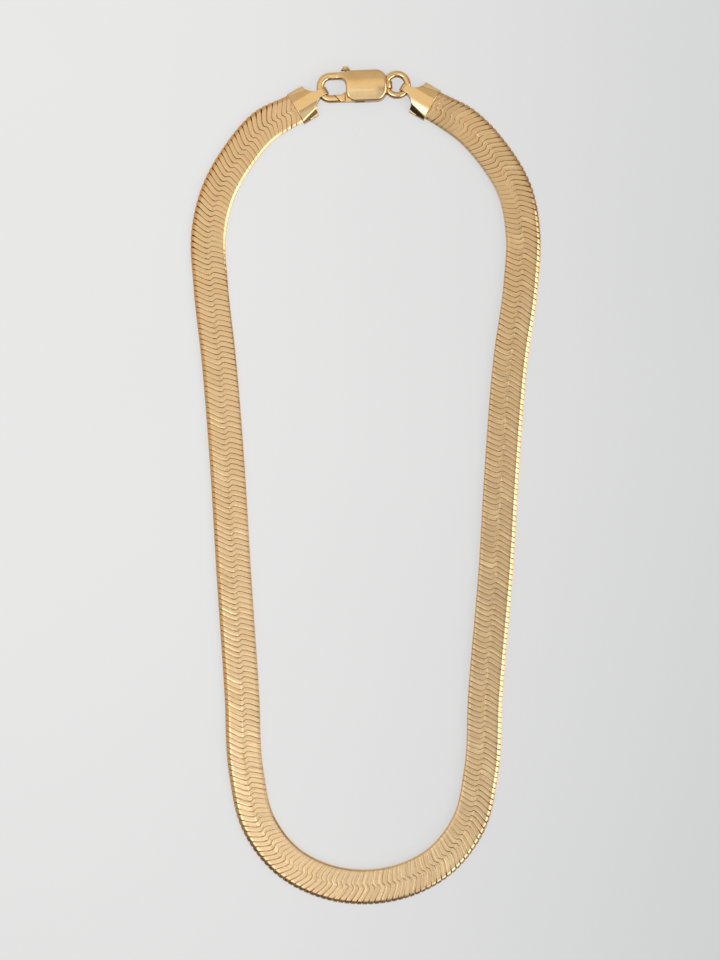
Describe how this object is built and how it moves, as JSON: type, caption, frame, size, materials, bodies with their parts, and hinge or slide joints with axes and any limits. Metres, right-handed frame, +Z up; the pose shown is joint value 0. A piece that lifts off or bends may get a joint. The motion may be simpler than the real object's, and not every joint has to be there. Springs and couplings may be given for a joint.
{
  "type": "herringbone chain necklace",
  "caption": "Flat gold herringbone chain necklace laid in a long loop, with crimped end caps, a jump ring and a lobster clasp whose sprung lever opens.",
  "frame": {"origin": "on the surface it lies on, under the middle of the laid necklace", "axes": "+X across the loop to the jump ring's side, +Y along the loop to the clasp, +Z up from the surface"},
  "size_m": [0.0834, 0.1995, 0.0031],
  "materials": {
    "gold_chain": "polished gold plate, finely lined",
    "gold_polished": "polished gold plate",
    "gold_wire": "drawn gold-plated wire"
  },
  "bodies": {
    "necklace": {"chain": "gold_chain", "end_cap_left": "gold_polished", "end_cap_right": "gold_polished", "jump_ring": "gold_wire", "clasp_body": "gold_polished", "clasp_pin": "gold_wire"},
    "lever": {"clasp_lever": "gold_polished"}
  },
  "joints": [
    {"name": "lever_hinge", "type": "hinge", "parent": "necklace", "child": "lever", "pos_m": [-0.00139, 0.09524, 0.00125], "axis": [0, 0, -1], "range_deg": [0, 25], "stiffness_Nm_per_rad": 0.002, "springref_deg": -17.19}
  ]
}
